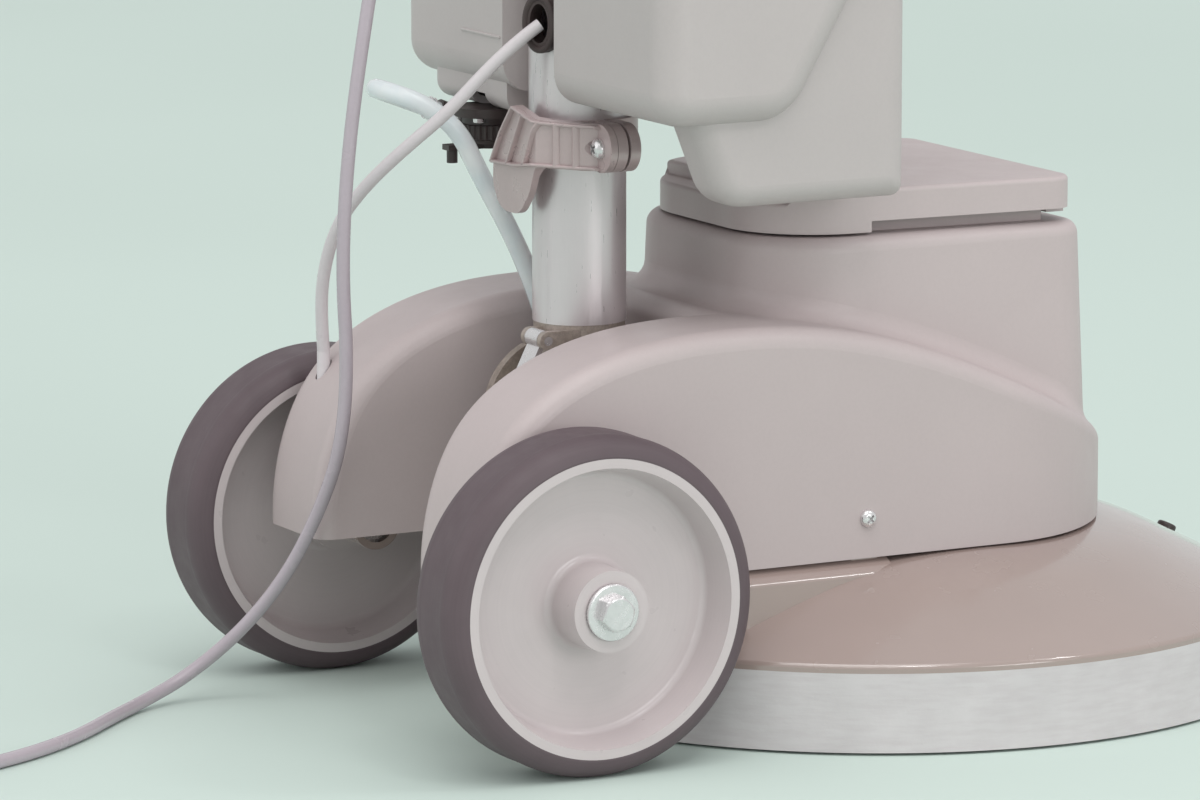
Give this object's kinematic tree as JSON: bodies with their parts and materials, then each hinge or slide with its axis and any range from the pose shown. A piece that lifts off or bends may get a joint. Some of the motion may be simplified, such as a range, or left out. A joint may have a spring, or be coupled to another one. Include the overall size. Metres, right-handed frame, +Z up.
{
  "type": "floor_machine",
  "caption": "Single-disc floor machine with a splash skirt, two transport wheels, a planetary drive, an upright tilting handle, a solution tank and a mains cord",
  "frame": {"origin": "centre of the floor pad's underside, on the floor", "axes": "+X to the machine's right, +Y forward, away from the handle, +Z up along the handle"},
  "size_m": [0.447, 0.9406, 1.1831],
  "materials": {
    "cover_plastic": "moulded, satin",
    "tank_plastic": "blow moulded, satin",
    "bell_paint": "gloss enamel on a casting",
    "skirt_rubber": "smooth",
    "tyre_rubber": "smooth, non-marking",
    "rim_plastic": "moulded",
    "tube_steel": "satin",
    "cast_metal": "as cast, speckled",
    "clamp_paint": "satin paint on a die casting",
    "zinc_steel": "bright zinc plate",
    "plain_steel": "machined",
    "motor_metal": "as cast",
    "motor_core": "laminated",
    "black_plastic": "moulded",
    "black_rubber": "soft, matt",
    "pad_fibre": "non-woven scrubbing fibre",
    "plate_plastic": "moulded",
    "lead_rubber": "smooth jacket",
    "mains_rubber": "smooth jacket",
    "hose_vinyl": "clear, slightly blue",
    "switch_plastic": "moulded"
  },
  "bodies": {
    "base": {"bell_housing": "bell_paint", "splash_skirt": "skirt_rubber", "bell_plug": "black_plastic", "chassis_cover": "cover_plastic", "motor_lid": "cover_plastic", "cover_screws": "zinc_steel", "motor_flange": "motor_metal", "motor_can": "motor_metal", "stator_core": "motor_core", "motor_cap": "motor_metal", "ring_gear": "plain_steel", "bearings": "plain_steel", "gearbox_bolts": "zinc_steel", "wheel_axle": "plain_steel", "wheel_bolts": "zinc_steel", "wheel_washers": "zinc_steel", "pivot_bracket": "cast_metal", "bracket_bolts": "zinc_steel", "pivot_pin": "zinc_steel", "lead_gland": "black_plastic", "hose_spigot": "plain_steel", "mains_cord": "mains_rubber", "cord_coil": "mains_rubber", "mains_plug": "black_plastic", "motor_lead": "lead_rubber", "solution_hose": "hose_vinyl"},
    "handle": {"pivot_knuckle": "cast_metal", "stub_tube": "tube_steel", "handle_tube": "tube_steel", "clamp_collar": "clamp_paint", "clamp_bolt": "zinc_steel", "solution_tank": "tank_plastic", "tank_gusset": "tank_plastic", "tank_valve": "black_plastic", "lead_grommet": "black_rubber", "head_front_shell": "cover_plastic", "head_rear_shell": "cover_plastic", "grip_loops": "tube_steel", "grip_sleeves": "black_rubber", "cord_hooks": "black_plastic", "cord_relief": "black_rubber"},
    "wheel_left": {"wheel_tyre_left": "tyre_rubber", "wheel_rim_left": "rim_plastic"},
    "wheel_right": {"wheel_tyre_right": "tyre_rubber", "wheel_rim_right": "rim_plastic"},
    "disc": {"planet_carrier": "plain_steel", "drive_plate": "plate_plastic", "floor_pad": "pad_fibre"},
    "rotor": {"motor_rotor": "motor_core", "cooling_fan": "black_plastic"},
    "planet_1": {"planet_gear_1": "plain_steel"},
    "planet_2": {"planet_gear_2": "plain_steel"},
    "planet_3": {"planet_gear_3": "plain_steel"},
    "lever": {"clamp_lever": "clamp_paint"},
    "latch": {"toe_latch": "zinc_steel"},
    "trigger_l": {"trigger_left": "black_plastic"},
    "trigger_r": {"trigger_right": "black_plastic"},
    "button": {"safety_button": "switch_plastic"},
    "cap": {"tank_cap": "tank_plastic"},
    "tap": {"valve_arm": "black_plastic"}
  },
  "joints": [
    {"name": "handle_tilt", "type": "hinge", "parent": "base", "child": "handle", "pos_m": [0, -0.181, 0.157], "axis": [1, 0, 0], "range_deg": [0, 60], "deforming": ["mains_cord", "motor_lead", "solution_hose"]},
    {"name": "wheel_left_spin", "type": "hinge", "parent": "base", "child": "wheel_left", "pos_m": [-0.154, -0.26, 0.09], "axis": [1, 0, 0], "continuous": true},
    {"name": "wheel_right_spin", "type": "hinge", "parent": "base", "child": "wheel_right", "pos_m": [0.154, -0.26, 0.09], "axis": [1, 0, 0], "continuous": true},
    {"name": "disc_spin", "type": "hinge", "parent": "base", "child": "disc", "pos_m": [0, 0, 0.03], "axis": [0, 0, 1], "continuous": true},
    {"name": "rotor_spin", "type": "hinge", "parent": "base", "child": "rotor", "pos_m": [0, 0, 0.15], "axis": [0, 0, 1], "continuous": true},
    {"name": "planet_1_spin", "type": "hinge", "parent": "disc", "child": "planet_1", "pos_m": [0.0315, 0, 0.1064], "axis": [0, 0, 1], "continuous": true},
    {"name": "planet_2_spin", "type": "hinge", "parent": "disc", "child": "planet_2", "pos_m": [-0.01575, 0.02728, 0.1064], "axis": [0, 0, 1], "continuous": true},
    {"name": "planet_3_spin", "type": "hinge", "parent": "disc", "child": "planet_3", "pos_m": [-0.01575, -0.02728, 0.1064], "axis": [0, 0, 1], "continuous": true},
    {"name": "clamp_lever_swing", "type": "hinge", "parent": "handle", "child": "lever", "pos_m": [0.0445, -0.19, 0.3095], "axis": [0, -1, 0], "range_deg": [0, 50]},
    {"name": "toe_latch_swing", "type": "hinge", "parent": "handle", "child": "latch", "pos_m": [0.011, -0.2115, 0.204], "axis": [-1, 0, 0], "range_deg": [0, 15], "stiffness_Nm_per_rad": 0.2, "springref_deg": -8.59},
    {"name": "trigger_left_swing", "type": "hinge", "parent": "handle", "child": "trigger_l", "pos_m": [-0.12, -0.1645, 1.129], "axis": [-1, 0, 0], "range_deg": [0, 10], "stiffness_Nm_per_rad": 0.3, "springref_deg": -11.46},
    {"name": "trigger_right_swing", "type": "hinge", "parent": "handle", "child": "trigger_r", "pos_m": [0.12, -0.1645, 1.129], "axis": [-1, 0, 0], "range_deg": [0, 10], "stiffness_Nm_per_rad": 0.3, "springref_deg": -11.46},
    {"name": "button_press", "type": "slide", "parent": "handle", "child": "button", "axis": [0, 0, -1], "range_m": [0, 0.004], "stiffness_N_per_m": 300, "springref_m": -0.003},
    {"name": "cap_lift", "type": "hinge", "parent": "handle", "child": "cap", "pos_m": [0, -0.139, 0.6165], "axis": [1, 0, 0], "range_deg": [0, 95]},
    {"name": "tap_turn", "type": "hinge", "parent": "handle", "child": "tap", "pos_m": [-0.07, -0.2, 0.3], "axis": [0, 0, 1], "range_deg": [0, 35]}
  ],
  "couplings": [
    {"joint": "rotor_spin", "follows": "disc_spin", "ratio": 7},
    {"joint": "planet_1_spin", "follows": "disc_spin", "ratio": -2.4},
    {"joint": "planet_2_spin", "follows": "disc_spin", "ratio": -2.4},
    {"joint": "planet_3_spin", "follows": "disc_spin", "ratio": -2.4}
  ]
}
